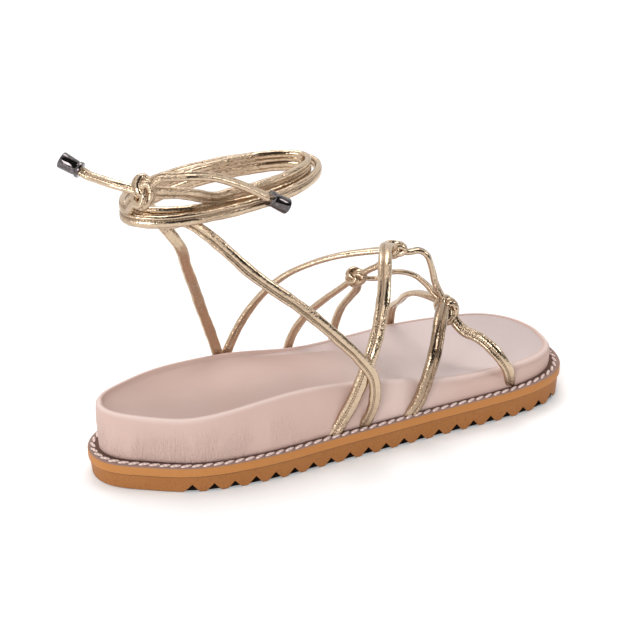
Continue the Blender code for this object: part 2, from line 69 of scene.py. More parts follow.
# ---------------------------------------------------------------------------------------------
# Studio. A white table runs on behind the shoe, under a wide white tent with a dark gap on the
# camera's side, which draws the dark stripes on the foil. Three soft boxes light it from above, from
# the heel's side and from the toe's side.
TENT_WHITE, TENT_GAP = 1.0, 0.06
GAP_MIDDLE = Vector((0.34, -0.87, 0.30)).normalized()
GAP_WIDTH, GAP_EDGE = 0.36, 0.50  # cosines of the angles from the gap's middle
TABLE_SIZE, TABLE_GLOW = 8.0, 0.08
TABLE_WHITE, TABLE_WHITER = (0.94, 0.94, 0.94, 1.0), (0.96, 0.96, 0.96, 1.0)
SOFT_BOXES = (
    # name, place, size, power, place that it faces
    ("soft_box_top", (0.25, 0.45, 1.30), 0.6, 5.0, (0.10, 0.0, 0.0)),
    ("soft_box_front", (-1.25, -1.70, 1.05), 1.0, 29.5, (0.10, 0.0, 0.03)),
    ("soft_box_toe", (1.40, -0.85, 1.10), 0.7, 9.0, (0.17, 0.0, 0.03)),
)

world = bpy.data.worlds.new("tent")
bpy.context.scene.world = world
world.use_nodes = True
tent = world.node_tree
facing = tent.nodes.new("ShaderNodeVectorMath")
facing.operation = "DOT_PRODUCT"
facing.inputs[1].default_value = GAP_MIDDLE
tent.links.new(tent.nodes.new("ShaderNodeTexCoord").outputs["Generated"], facing.inputs[0])
gap = tent.nodes.new("ShaderNodeMapRange")
gap.interpolation_type = "SMOOTHSTEP"
for socket, value in (("From Min", GAP_WIDTH), ("From Max", GAP_EDGE),
                      ("To Min", TENT_WHITE), ("To Max", TENT_GAP)):
    gap.inputs[socket].default_value = value
tent.links.new(facing.outputs["Value"], gap.inputs["Value"])
tent.links.new(gap.outputs["Result"], tent.nodes["Background"].inputs["Strength"])
tent.nodes["Background"].inputs["Color"].default_value = (1.0, 1.0, 1.0, 1.0)

for name, place, size, power, aim in SOFT_BOXES:
    lamp = bpy.data.lights.new(name, "AREA")
    lamp.size = size
    lamp.energy = power
    box = bpy.data.objects.new(name, lamp)
    box.location = place
    box.rotation_euler = (Vector(aim) - Vector(place)).to_track_quat("-Z", "Y").to_euler()
    bpy.context.scene.collection.objects.link(box)
bpy.context.scene.view_settings.view_transform = "Standard"


class Wire:
    """A shader socket on which arithmetic works: each operation adds its Math node."""

    def __init__(self, tree, socket=None):
        self.tree, self.socket = tree, socket

    def feed(self, socket, value):
        """Links a wire to an input, or sets the input to a plain value."""
        if isinstance(value, Wire):
            self.tree.links.new(value.socket, socket)
        else:
            socket.default_value = value

    def node(self, kind, settings=(), inputs=(), output=0):
        """Any other node: its settings, the values or wires of its inputs, and one of its outputs."""
        made = self.tree.nodes.new(kind)
        for key, setting in dict(settings).items():
            setattr(made, key, setting)
        for key, value in dict(inputs).items():
            self.feed(made.inputs[key], value)
        return Wire(self.tree, made.outputs[output])

    def math(self, operation, *values, first=None):
        start = self if first is None else first
        return self.node("ShaderNodeMath", {"operation": operation}, dict(enumerate((start, *values))))

    def __add__(self, other):
        return self.math("ADD", other)

    def __radd__(self, other):
        return self.math("ADD", other)

    def __sub__(self, other):
        return self.math("SUBTRACT", other)

    def __rsub__(self, other):
        return self.math("SUBTRACT", self, first=other)

    def __mul__(self, other):
        return self.math("MULTIPLY", other)

    def __rmul__(self, other):
        return self.math("MULTIPLY", other)

    def step(self, low, high):
        """0 below low and 1 above high, smooth between; the other way round if low is the larger."""
        if low > high:
            return 1.0 - self.step(high, low)
        return self.node("ShaderNodeMapRange", {"interpolation_type": "SMOOTHSTEP"},
                         {"Value": self, "From Min": low, "From Max": high})

    def bell(self, centre, width):
        """1 at the centre, falling to 0 at the width."""
        return (self - centre).math("ABSOLUTE").step(width, 0.0)

    def blend(self, colour, other):
        """The first colour where this wire is 0 and the other where it is 1."""
        return self.node("ShaderNodeMix", {"data_type": "RGBA"}, {0: self, 6: colour, 7: other}, 2)

    def part(self, axis):
        return self.node("ShaderNodeSeparateXYZ", (), {0: self}, axis)

    def stretched(self, *scale):
        return self.node("ShaderNodeVectorMath", {"operation": "MULTIPLY"}, {0: self, 1: scale})

    def noise(self, scale, detail=2.0, roughness=0.5):
        return self.node("ShaderNodeTexNoise", (), {
            "Vector": self, "Scale": scale, "Detail": detail, "Roughness": roughness})

    def bump(self, distance, strength=1.0, over=None):
        """A normal from this height, on top of another normal."""
        inputs = {"Height": self, "Distance": distance, "Strength": strength}
        if over is not None:
            inputs["Normal"] = over
        return self.node("ShaderNodeBump", (), inputs)


def new_finish(name, **constants):
    """A material, its shader's inputs, its Object coordinates and a function that links them."""
    made = bpy.data.materials.new(name)
    made.use_nodes = True
    shader = made.node_tree.nodes["Principled BSDF"]
    for key, value in constants.items():
        shader.inputs[key.replace("_", " ")].default_value = value
    place = Wire(made.node_tree).node("ShaderNodeTexCoord", output="Object")

    def link(**wires):
        for key, value in wires.items():
            place.feed(shader.inputs[key.replace("_", " ")], value)

    return made, place, link


def set_down(name, bm):
    """Puts a finished mesh into the scene."""
    mesh = bpy.data.meshes.new(name)
    bm.to_mesh(mesh)
    bm.free()
    piece = bpy.data.objects.new(name, mesh)
    bpy.context.scene.collection.objects.link(piece)
    return piece


bm = bmesh.new()
bmesh.ops.create_grid(bm, x_segments=8, y_segments=8, size=TABLE_SIZE / 2)
table = set_down("table", bm)
white_table, place, link = new_finish(
    "white_table", Roughness=0.9, Emission_Color=(1.0, 1.0, 1.0, 1.0), Emission_Strength=TABLE_GLOW)
link(Base_Color=place.noise(40.0).step(0.2, 0.8).blend(TABLE_WHITE, TABLE_WHITER))
table.data.materials.append(white_table)

# ---------------------------------------------------------------------------------------------
# Outsole. One moulding of light caramel rubber: a smooth upper band, a step, and a rougher lower band
# that leans in and ends in saw-like teeth, cut right across the sole in front of a flat heel.
SOLE_LENGTH, BALL_WIDTH, HEEL_REST = 0.262, 0.084, 0.020
SOLE_HEEL_HEIGHT, SOLE_TOE_HEIGHT = 0.0127, 0.0159
TOE_SPRING, TOE_SPRING_START = 0.0012, 0.8
BAND_HEIGHT, BAND_STEP, SOLE_TAPER, SOLE_ROUND = 0.0042, 0.0006, 0.0009, 0.0004
SOLE_LIP = 0.0007  # the rubber's thin lip round the edge of the welt
TREAD_START, TREAD_PITCH, TREAD_DEPTH, TREAD_LAND, TREAD_COUNT = 0.0345, 0.01035, 0.0045, 0.0024, 21
TREAD_SHIFT, TREAD_LEAN, TREAD_SWAY, TREAD_UNEVEN = 0.06, 0.10, 0.03, 0.07  # shares of pitch, depth
TREAD_WAVES = (2.4, 5.1)  # radians from notch to notch
SIDE_STEPS = 80  # on each side of the outline
SHARP_ANGLE = 28  # degrees, from which an edge stays crisp
SHADE_INSET, SHADE_THICK = 0.0034, 0.00015  # of the painted shadow sheet under the sole
CARAMEL_BAND = (0.465, 0.192, 0.050, 1.0)
CARAMEL_BAND_DEEP = (0.475, 0.190, 0.048, 1.0)
CARAMEL_LOWER = (0.375, 0.150, 0.040, 1.0)
CARAMEL_LOWER_DEEP = (0.360, 0.138, 0.034, 1.0)
CARAMEL_SPECK = (0.210, 0.075, 0.024, 1.0)
# Painted shade, for the faces that look down.
SOLE_SHADE = (0.020, 0.012, 0.008, 1.0)
# Painted shadow: the colours of the dark sheet under the sole.
PAINTED_SHADOW, PAINTED_SHADOW_PALE = (0.012, 0.009, 0.008, 1.0), (0.030, 0.024, 0.022, 1.0)

# Fullness is the half width over the ball width, divided by the half width of a unit ellipse.
OUTLINE = (
    # along, inner side, outer side
    (0.00, 0.690, 0.700), (0.06, 0.580, 0.590), (0.16, 0.611, 0.578), (0.30, 0.555, 0.505),
    (0.44, 0.489, 0.440), (0.58, 0.469, 0.495), (0.70, 0.485, 0.589), (0.82, 0.558, 0.698),
    (0.93, 0.714, 0.861), (1.00, 1.030, 1.030),
)


def read_table(rows, column, value, key=float):
    """Reads a table between its rows, on a curve that has no kinks."""
    marks = [key(row[0]) for row in rows]
    heights = [row[column] for row in rows]
    last = len(rows) - 1
    at = key(value)
    row = 0
    while row < last - 1 and at > marks[row + 1]:
        row += 1

    def slope(index):
        low, high = max(index - 1, 0), min(index + 1, last)
        return (heights[high] - heights[low]) / (marks[high] - marks[low])

    width = marks[row + 1] - marks[row]
    t = (at - marks[row]) / width
    start = heights[row] * (2 * t ** 3 - 3 * t ** 2 + 1) + slope(row) * width * (t ** 3 - 2 * t ** 2 + t)
    return (start + heights[row + 1] * (3 * t ** 2 - 2 * t ** 3)
            + slope(row + 1) * width * (t ** 3 - t ** 2))


def along_of(x):
    """Share of the sole's length at x, from the heel (0) to the toe (1)."""
    return min(max((x + HEEL_REST) / SOLE_LENGTH, 0.0), 1.0)


def ellipse_turn(along):
    return math.acos(1 - 2 * min(max(along, 0.0), 1.0))


def half_width(along, side):
    """Distance from the long axis to the sole's outline, on the inner (-1) or outer (1) side."""
    return BALL_WIDTH * read_table(OUTLINE, 1 if side < 0 else 2, along, ellipse_turn) * math.sin(
        ellipse_turn(along))


def toe_lift(x):
    return TOE_SPRING * max((along_of(x) - TOE_SPRING_START) / (1 - TOE_SPRING_START), 0.0) ** 2


def sole_top(x):
    return SOLE_HEEL_HEIGHT + (SOLE_TOE_HEIGHT - SOLE_HEEL_HEIGHT) * along_of(x) + toe_lift(x)


def outline(inset):
    """Closed outline, heel, inner side, toe, outer side, moved inwards by the inset.

    The inset is a length or a function of the share of the sole's length and the side.
    """
    points = []
    for step in range(2 * SIDE_STEPS):
        side = -1 if step <= SIDE_STEPS else 1
        count = step if side < 0 else 2 * SIDE_STEPS - step
        along = (1 - math.cos(math.pi * count / SIDE_STEPS)) / 2
        points.append(Vector((SOLE_LENGTH * along - HEEL_REST, side * half_width(along, side), 0.0)))
    moved = []
    for index, point in enumerate(points):
        tangent = points[(index + 1) % len(points)] - points[index - 1]
        moved_by = inset(along_of(point.x), point.y) if callable(inset) else inset
        moved.append(point + Vector((-tangent.y, tangent.x, 0.0)).normalized() * moved_by)
    return moved


def ring(inset, height):
    """An outline whose points lie at height(x, y)."""
    return [Vector((p.x, p.y, height(p.x, p.y))) for p in outline(inset)]


def draw_out(name, rings, traits=None):
    """A closed body whose first ring is extruded through the others. Each corner keeps its trait."""
    bm = bmesh.new()
    number = bm.verts.layers.int.new("number")
    trait = bm.verts.layers.float_vector.new("trait")
    verts = bmesh.ops.create_circle(bm, segments=len(rings[0]), radius=1.0)["verts"]
    for index, vert in enumerate(verts):
        vert[number] = index
    edges = bm.edges[:]
    for row, points in enumerate(rings):
        if row:
            made = bmesh.ops.extrude_edge_only(bm, edges=edges)["geom"]
            verts = [item for item in made if isinstance(item, bmesh.types.BMVert)]
            fresh = set(verts)
            edges = [item for item in made if isinstance(item, bmesh.types.BMEdge)
                     and item.verts[0] in fresh and item.verts[1] in fresh]
        for vert in verts:
            vert.co = points[vert[number]]
            if traits:
                vert[trait] = traits[row][vert[number]]
    made = bmesh.ops.holes_fill(bm, edges=[e for e in bm.edges if e.is_boundary])["faces"]
    bmesh.ops.triangulate(bm, faces=[face for face in made if len(face.verts) > 4])
    bmesh.ops.recalc_face_normals(bm, faces=bm.faces)
    body = set_down(name, bm)
    body.data.shade_smooth()
    return body


def read_trait(place):
    """The traits that the corners of a body keep, as a wire."""
    return place.node("ShaderNodeAttribute", {"attribute_name": "trait"}, (), "Vector")


def cut_away(target, other):
    """Cuts one piece with another, which is used up."""
    cut = target.modifiers.new("cut", "BOOLEAN")
    cut.operation, cut.solver, cut.object = "DIFFERENCE", "EXACT", other
    bpy.context.view_layer.update()
    evaluated = target.evaluated_get(bpy.context.evaluated_depsgraph_get())
    target.data = bpy.data.meshes.new_from_object(evaluated)
    target.modifiers.clear()
    bpy.data.objects.remove(other, do_unlink=True)


side_levels = (
    # inset, height above the floor or (below) under the top, is it measured from the top, upper band
    (BAND_STEP + SOLE_TAPER + SOLE_ROUND, 0.0, False, 0.0),
    (BAND_STEP + SOLE_TAPER, SOLE_ROUND, False, 0.0),
    (BAND_STEP + SOLE_ROUND / 2, -BAND_HEIGHT - SOLE_ROUND, True, 0.0),
    (BAND_STEP, -BAND_HEIGHT, True, 0.0),
    (SOLE_ROUND / 2, -BAND_HEIGHT + SOLE_ROUND / 4, True, 1.0),
    (0.0, -BAND_HEIGHT + SOLE_ROUND, True, 1.0),
    (0.0, SOLE_LIP - SOLE_ROUND, True, 1.0),
    (SOLE_ROUND / 3, SOLE_LIP - SOLE_ROUND / 4, True, 1.0),
    (SOLE_ROUND, SOLE_LIP, True, 1.0),
    (SOLE_ROUND, 0.0, True, 1.0),
)
rings, traits = [], []
for inset, rise, from_top, band in side_levels:
    rings.append(ring(inset, lambda x, y: rise + (sole_top(x) if from_top else toe_lift(x))))
    traits.append([(p.x, p.y, band) for p in rings[-1]])
outsole = draw_out("outsole_rubber", rings, traits)

bm = bmesh.new()
half_mouth = (TREAD_PITCH - TREAD_LAND) / 2
for notch in range(TREAD_COUNT):
    wobble = sum(math.sin(notch * wave) for wave in TREAD_WAVES) / 2
    centre = TREAD_START - HEEL_REST + TREAD_PITCH * (notch + 0.5)
    base = toe_lift(centre) - TREAD_DEPTH  # a depth below the floor, where the prism is twice as wide
    peak = toe_lift(centre) + TREAD_DEPTH * (1 + TREAD_UNEVEN * wobble)
    prism = bmesh.ops.create_cone(
        bm, cap_ends=True, segments=3, radius1=1.0, radius2=1.0, depth=2 * BALL_WIDTH)["verts"]
    corners = (  # the rear flank is the longer one, so each tooth leans to the toe
        (centre - half_mouth * 2 + TREAD_PITCH * TREAD_SHIFT, base),
        (centre + half_mouth * 2 + TREAD_PITCH * TREAD_SHIFT, base),
        (centre + TREAD_PITCH * (TREAD_LEAN + TREAD_SWAY * wobble), peak))
    for vert in prism:
        corner = corners[round(math.degrees(math.atan2(vert.co.y, vert.co.x)) / 120) % 3]
        vert.co = (corner[0], math.copysign(BALL_WIDTH, vert.co.z), corner[1])
bmesh.ops.recalc_face_normals(bm, faces=bm.faces)
cut_away(outsole, set_down("notches", bm))
outsole.data.set_sharp_from_angle(angle=math.radians(SHARP_ANGLE))

caramel, place, link = new_finish("caramel_rubber", Roughness=0.62, Specular_IOR_Level=0.35)
trait = read_trait(place)
band = trait.part(2).step(0.3, 0.7)
cloud = place.noise(55.0, 3.0)
speck = place.noise(1100.0, 3.0, 0.75).step(0.52, 0.68)
brushed = place.stretched(1.0, 1.0, 0.25).noise(900.0, 2.0)
tone = band.blend(cloud.step(0.25, 0.75).blend(CARAMEL_LOWER, CARAMEL_LOWER_DEEP),
                  cloud.step(0.2, 0.8).blend(CARAMEL_BAND, CARAMEL_BAND_DEEP))
# Painted shade: faces that look down, such as the notches' flanks, are coloured almost black.
under = place.node("ShaderNodeTexCoord", output="Normal").part(2).step(-0.25, -0.45)
tone = (speck * (0.75 - band * 0.55)).blend(tone, CARAMEL_SPECK)
link(Base_Color=under.blend(tone, SOLE_SHADE),
     Roughness=0.50 + cloud * 0.12 + (1.0 - band) * 0.12,
     Normal=(brushed * (1.2 - band) + cloud * 0.5).bump(0.00022, 0.6))
outsole.data.materials.append(caramel)
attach(outsole, "root")
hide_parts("outsole")

# The floor under the sole belongs to the studio: a dark sheet of painted shadow that stands in for the
# shade there.
shade = draw_out(
    "sole_shadow", [ring(SHADE_INSET, lambda x, y: height) for height in (0.0, SHADE_THICK)])
shadow_finish, place, link = new_finish("painted_shadow_floor", Roughness=0.9, Specular_IOR_Level=0.0)
link(Base_Color=place.noise(60.0).blend(PAINTED_SHADOW, PAINTED_SHADOW_PALE))
shade.data.materials.append(shadow_finish)

# ---------------------------------------------------------------------------------------------
# Welt. A thin board of brown fibre that lies in the sole's lip and stands out round the footbed. A
# thick pink thread is sewn down through it and the sole in slanting stitches, two to a tooth.
SEAT_GAP, WELT_THICK, WELT_ROUND = 0.0003, 0.0008, 0.00025
FOOTBED_INSET = 0.0049
STITCH_PITCH, STITCH_LENGTH, STITCH_WIDTH, STITCH_HEIGHT = 0.0052, 0.0060, 0.0016, 0.0013
STITCH_SLANT, STITCH_SWAY, STITCH_PLACE = 19.0, 4, 0.5  # degrees twice, share of the free welt's width
THREAD_FLAT, THREAD_SEAT, THREAD_TAPER = 0.5, 0.28, 0.35
WALL_SPREAD = 1.6  # how fast the footbed's wall gains its foot's width on the way down
WELT_BROWN = (0.150, 0.082, 0.062, 1.0)
WELT_TAUPE = (0.330, 0.215, 0.178, 1.0)
THREAD_PINK = (0.860, 0.670, 0.610, 1.0)
THREAD_SHADE = (0.330, 0.200, 0.170, 1.0)

# Width of the welt that is left free, in mm: at the footbed's foot, and out to its upper edge.
WELT_WIDTH = (
    # along, foot inner side, foot outer side, upper edge inner side, upper edge outer side
    (0.00, 5.1, 5.6, 5.1, 5.6), (0.08, 4.5, 5.5, 5.0, 5.6), (0.20, 3.5, 5.0, 4.9, 5.0),
    (0.50, 3.4, 4.9, 4.9, 4.9), (0.80, 3.5, 4.9, 4.9, 4.9), (0.90, 4.4, 5.0, 5.2, 5.0),
    (0.97, 5.9, 5.6, 6.3, 5.6), (1.00, 6.6, 6.2, 6.6, 6.2),
)


def free_welt(along, side, up=0.0):
    """Distance from the sole's outline to the footbed's wall, up being a share of its height."""
    low, high = (read_table(WELT_WIDTH, column + (side > 0), along) for column in (1, 3))
    return (high + (low - high) * (1 - up) ** WALL_SPREAD) / 1000


def welt_top(x):
    return sole_top(x) + SEAT_GAP + WELT_THICK


rings, traits = [], []
for inset, rise in ((2 * FOOTBED_INSET, 0.0), (2 * WELT_ROUND, 0.0), (WELT_ROUND, WELT_ROUND),
                    (WELT_ROUND, WELT_THICK - WELT_ROUND), (2 * WELT_ROUND, WELT_THICK),
                    (FOOTBED_INSET / 2, WELT_THICK), (2 * FOOTBED_INSET, WELT_THICK)):
    rings.append(ring(inset, lambda x, y: sole_top(x) + SEAT_GAP + rise))
    traits.append([(p.x, inset / FOOTBED_INSET, rise / WELT_THICK) for p in rings[-1]])
welt = draw_out("welt_board", rings, traits)
board, place, link = new_finish("welt_board", Roughness=0.8, Specular_IOR_Level=0.2)
from_edge = read_trait(place).part(1)
fibre = place.noise(1300.0, 3.0, 0.7)
# Paler taupe at the board's rough outer edge is its own colour. The darker brown towards the footbed is
# partly the board's colour and partly painted shade where the wall meets it.
link(Base_Color=(from_edge.step(0.85, 0.2) * 0.75 + fibre * 0.5 - 0.15).math("MINIMUM", 1.0).blend(
        WELT_BROWN, WELT_TAUPE),
     Normal=fibre.bump(0.0003, 0.7))
welt.data.materials.append(board)
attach(welt, "root")
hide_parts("welt")


def walk(points, pitch):
    """Places and directions one pitch apart along a closed line."""
    closed = points + points[:1]
    total = sum((b - a).length for a, b in zip(closed, closed[1:]))
    count = round(total / pitch)
    found, gone, number = [], 0.0, 0
    for start, end in zip(closed, closed[1:]):
        length = (end - start).length
        while number < count and number * total / count <= gone + length:
            share = (number * total / count - gone) / length
            found.append((start.lerp(end, share), (end - start).normalized()))
            number += 1
        gone += length
    return found


seam_line = [Vector((p.x, p.y, welt_top(p.x)))
             for p in outline(lambda along, side: free_welt(along, side) * STITCH_PLACE)]
bm = bmesh.new()
thread_trait = bm.verts.layers.float_vector.new("trait")
for number, (spot, heading) in enumerate(walk(seam_line, STITCH_PITCH)):
    grains = bmesh.ops.create_uvsphere(bm, u_segments=10, v_segments=6, radius=1.0)["verts"]
    yaw = Matrix.Rotation(math.radians(STITCH_SLANT + STITCH_SWAY * math.sin(number * 2.7)), 3, "Z")
    upright = Vector((0.0, 0.0, 1.0))
    forward = (yaw @ heading).normalized()
    sideways = upright.cross(forward).normalized()
    for vert in grains:
        run, side, lift = vert.co.z, vert.co.x, vert.co.y
        vert[thread_trait] = (run, side, lift)
        vert.co = (spot + forward * run * STITCH_LENGTH / 2 + sideways * side * STITCH_WIDTH / 2
                   + upright * ((lift * THREAD_FLAT + THREAD_SEAT) * STITCH_HEIGHT
                                * (1 - THREAD_TAPER * run ** 4)))
bmesh.ops.recalc_face_normals(bm, faces=bm.faces)
stitches = set_down("welt_stitches", bm)
stitches.data.shade_smooth()
thread, place, link = new_finish("pink_thread", Roughness=0.6, Sheen_Weight=0.3)
lie = read_trait(place)
# Painted shade: the grooves of the twist and both ends, where the thread dives into its holes, are
# darker.
twist = (lie.part(0) * 9.0 + lie.part(1) * 3.2).math("SINE")
ends = lie.part(0).math("ABSOLUTE").step(0.74, 1.0)
link(Base_Color=ends.blend((twist * 0.18 + 0.18).blend(THREAD_PINK, THREAD_SHADE), THREAD_SHADE),
     Normal=twist.bump(0.0002, 0.7))
stitches.data.materials.append(thread)
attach(stitches, "root")

# ---------------------------------------------------------------------------------------------
# Footbed. A high bed of cork and foam, wrapped in soft nude leather that is drawn down and tucked
# under, so that fine wrinkles stand in it round the heel. Its upper edge is a small soft roll.
FOOTBED_BULGE, BED_ROLL, BED_TUCK = 0.0004, 0.0022, 0.0008
RIM_HEIGHT, CUP_DEPTH, CUP_POWER = 0.0395, 0.0110, 2.6
NUDE_SIDE = (0.585, 0.412, 0.358, 1.0)
NUDE_SIDE_WARM = (0.548, 0.370, 0.318, 1.0)
NUDE_PAINTED_LIGHT = (0.700, 0.545, 0.495, 1.0)

# Height of the footbed's upper edge as a share of RIM_HEIGHT.
RIM = (
    # along, inner side, outer side
    (0.00, 1.000, 1.000), (0.15, 0.960, 0.940), (0.35, 1.110, 0.900), (0.50, 1.030, 0.800),
    (0.70, 0.765, 0.765), (0.85, 0.735, 0.730), (1.00, 0.735, 0.735),
)
# Depth of the foot's hollow below the upper edge as a share of CUP_DEPTH.
HOLLOW = (
    # along, depth
    (0.00, 0.00), (0.06, 0.45), (0.16, 0.95), (0.28, 1.00), (0.44, 0.62), (0.58, 0.30),
    (0.70, 0.18), (0.85, 0.15), (0.95, 0.08), (1.00, 0.00),
)


def wall_share(x, y):
    """How far y is from the middle to the footbed's wall: -1 on the inner side, 1 on the outer."""
    wall = max(half_width(along_of(x), -1 if y < 0 else 1) - FOOTBED_INSET, SEAT_GAP)
    return min(max(y / wall, -1.0), 1.0)


def rim_height(x, y):
    blend = (wall_share(x, y) + 1) / 2
    low, high = read_table(RIM, 1, along_of(x)), read_table(RIM, 2, along_of(x))
    return RIM_HEIGHT * (low + (high - low) * blend)


def foot_hollow(x, y):
    """Height of the surface that the foot stands on."""
    depth = CUP_DEPTH * read_table(HOLLOW, 1, along_of(x))
    return rim_height(x, y) - depth * (1 - abs(wall_share(x, y)) ** CUP_POWER)


def wall_level(share, drop):
    """Height of the footbed's wall at a share of the way up, less a drop, as a function of x and y."""
    def height(x, y):
        low = welt_top(x) + SEAT_GAP / 2
        return low + (rim_height(x, y) - low) * share - drop
    return height


bed_levels = (
    # share of the way up the wall, drop below the upper edge, distance in from the wall
    (0.0, 0.0, 5.0 * BED_TUCK),
    (0.0, 0.0, BED_TUCK),
    (0.03, 0.0, BED_TUCK * 0.25),
    (0.10, 0.0, 0.0),
    (0.30, 0.0, -FOOTBED_BULGE * 0.6),
    (0.55, 0.0, -FOOTBED_BULGE),
    (0.80, 0.0, -FOOTBED_BULGE * 0.6),
    (1.0, BED_ROLL * 1.15, 0.0),
    (1.0, BED_ROLL * 0.66, BED_ROLL * 0.12),
    (1.0, BED_ROLL * 0.33, BED_ROLL * 0.36),
    (1.0, BED_ROLL * 0.12, BED_ROLL * 0.68),
    (1.0, BED_ROLL * 0.03, BED_ROLL * 1.02),
    (1.0, BED_ROLL * 0.04, BED_ROLL * 1.30),
    (1.0, BED_ROLL * 0.22, BED_ROLL * 1.44),
    (1.0, BED_ROLL * 1.20, BED_ROLL * 1.52),
)
rings, traits = [], []
for share, drop, inward in bed_levels:
    rings.append(ring(
        lambda along, side: free_welt(along, side, share) + inward, wall_level(share, drop)))
    rolled = max(inward / BED_ROLL, 0.0) if share == 1.0 else 0.0
    traits.append([(p.x, share, rolled) for p in rings[-1]])
footbed = draw_out("footbed_wrap", rings, traits)

nude_wrap, place, link = new_finish("nude_wrap_leather", Roughness=0.5, Specular_IOR_Level=0.45)
trait = read_trait(place)
up_wall, on_roll = trait.part(1), trait.part(2).bell(0.6, 0.7)
grain = place.node("ShaderNodeTexVoronoi", {"feature": "SMOOTH_F1"}, {
    "Vector": place, "Scale": 1500.0, "Smoothness": 0.6}, "Distance")
pores = place.noise(2600.0, 2.0, 0.6)
mottle = place.noise(38.0, 3.0, 0.6)
drawn = place.stretched(1.0, 1.0, 0.22).noise(1000.0, 3.0, 0.65)
drawn_where = (place.part(0).step(0.110, 0.030) * up_wall.step(0.98, 0.35)
               * place.stretched(1.0, 1.0, 0.6).noise(60.0, 1.0).step(0.30, 0.55))
painted_light_patch = place.part(0).bell(0.133, 0.045) * 0.7  # painted light: a paler patch on the wall between the inner straps
# Painted highlight along the upper edge's roll, and painted light in the patch between the inner straps,
# both in the paler nude.
link(Base_Color=(on_roll + painted_light_patch).math("MINIMUM", 1.0).blend(
        (mottle * 0.7 + pores * 0.5 - 0.1).blend(NUDE_SIDE, NUDE_SIDE_WARM), NUDE_PAINTED_LIGHT),
     Roughness=0.46 + mottle * 0.12 - on_roll * 0.10,
     Normal=(grain * 0.5 + pores * 0.35).bump(
         0.00016, 0.55, over=(drawn * drawn_where + mottle * 0.15).bump(0.0018, 0.85)))
footbed.data.materials.append(nude_wrap)
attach(footbed, "root")
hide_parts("footbed")

# ---------------------------------------------------------------------------------------------
# Insole. A cover of smoother, greyer nude leather, moulded into the hollow of the footbed and glued
# down, with its folded edge just inside the roll.
COVER_EDGE, COVER_PLACE = 0.0005, 1.32  # metres, share of the roll's width in from the wall
MIDDLE_START, MIDDLE_END = 0.22, 0.80  # the footbed's middle line, as shares of the sole's length
NUDE_COVER = (0.530, 0.398, 0.360, 1.0)
NUDE_COVER_SHEEN = (0.635, 0.505, 0.482, 1.0)
NUDE_COVER_TOE = (0.480, 0.383, 0.365, 1.0)
NUDE_COVER_EDGE_HIGHLIGHT = (0.620, 0.490, 0.455, 1.0)


def cover_outline(inward):
    """The cover's outline just inside the roll, moved further in."""
    return outline(lambda along, side: free_welt(along, side, 1.0) + BED_ROLL * COVER_PLACE + inward)


def drawn_in(points, share):
    """Points drawn in towards the footbed's long middle line."""
    near, far = SOLE_LENGTH * MIDDLE_START - HEEL_REST, SOLE_LENGTH * MIDDLE_END - HEEL_REST
    return [Vector((min(max(p.x, near), far), 0.0, 0.0)).lerp(p, share) for p in points]


cover_edge = cover_outline(0.0)
fold_levels = (
    # distance in from the cover's outline, drop below the hollow's surface, both in edge widths
    (0.0, 4.0), (0.0, 1.4), (0.15, 0.75), (0.6, 0.3), (1.3, 0.1), (2.8, 0.0), (5.0, 0.0))
rings, traits = [], []
for inward, drop in fold_levels:
    edge = cover_outline(COVER_EDGE * inward)
    rings.append([Vector((p.x, p.y, foot_hollow(p.x, p.y) - COVER_EDGE * drop)) for p in edge])
    traits.append([(p.x, inward, 0.0) for p in edge])
for share in (0.90, 0.80, 0.69, 0.57, 0.44, 0.30, 0.16, 0.05):
    spots = drawn_in(cover_edge, share)
    rings.append([Vector((p.x, p.y, foot_hollow(p.x, p.y))) for p in spots])
    traits.append([(p.x, 10.0, 1 - share) for p in spots])
insole = draw_out("insole_cover", rings, traits)

nude_cover, place, link = new_finish("nude_insole_leather", Roughness=0.4, Specular_IOR_Level=0.5)
trait = read_trait(place)
# Painted highlight: a paler colour along the cover's folded edge.
cover_edge_highlight = trait.part(1).step(2.2, 0.4)
grain = place.node("ShaderNodeTexVoronoi", {"feature": "SMOOTH_F1"}, {
    "Vector": place, "Scale": 1900.0, "Smoothness": 0.7}, "Distance")
mottle = place.noise(30.0, 3.0, 0.6)
strain = place.stretched(1.0, 0.35, 0.6).noise(240.0, 3.0, 0.6)
# Painted sheen: the forefoot is paler and greyer, with a mottled rear boundary.
forefoot_sheen = (place.part(0) + mottle * 0.06).step(0.09, 0.21)
toe = place.part(0).step(0.180, 0.240)
link(Base_Color=cover_edge_highlight.blend(
        toe.blend((forefoot_sheen * 0.8 + mottle * 0.2).blend(NUDE_COVER, NUDE_COVER_SHEEN), NUDE_COVER_TOE),
        NUDE_COVER_EDGE_HIGHLIGHT),
     Roughness=0.34 + mottle * 0.16,
     Normal=grain.bump(0.00012, 0.4, over=(strain * 0.5 + mottle).bump(0.00080, 0.7)))
insole.data.materials.append(nude_cover)
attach(insole, "root")
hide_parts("insole")

# ---------------------------------------------------------------------------------------------
# Foot straps. Ten lengths of gold foil cord: a soft leather strip sewn to a tube and pressed a
# little flat, with the seam along its outer face. They come out between welt and footbed, rise over
# the foot and are tied in three overhand knots.
STRAP_THICK = 0.60  # of its width
ROUTE_STEP, KNOT_STEPS = 0.0011, 96
TURN_EASE = 0.75  # share of the last step's direction that a cord keeps
CORD_WAVES = ((310, 0.6, 1.0), (733, 0.4, 2.3))  # radians to the metre, share, share of the seed
CORD_CRUSH, KNOT_CRUSH = 0.05, 0.08  # how much the waves change a cord's width and thickness
FOIL_GOLD = (0.590, 0.450, 0.315, 1.0)
FOIL_DEEP = (0.310, 0.210, 0.130, 1.0)
FOIL_DARK_REFLECTION = (0.215, 0.140, 0.088, 1.0)
SEAM_BROWN = (0.200, 0.115, 0.065, 1.0)
FOOT_AXIS_HEIGHT = 0.030

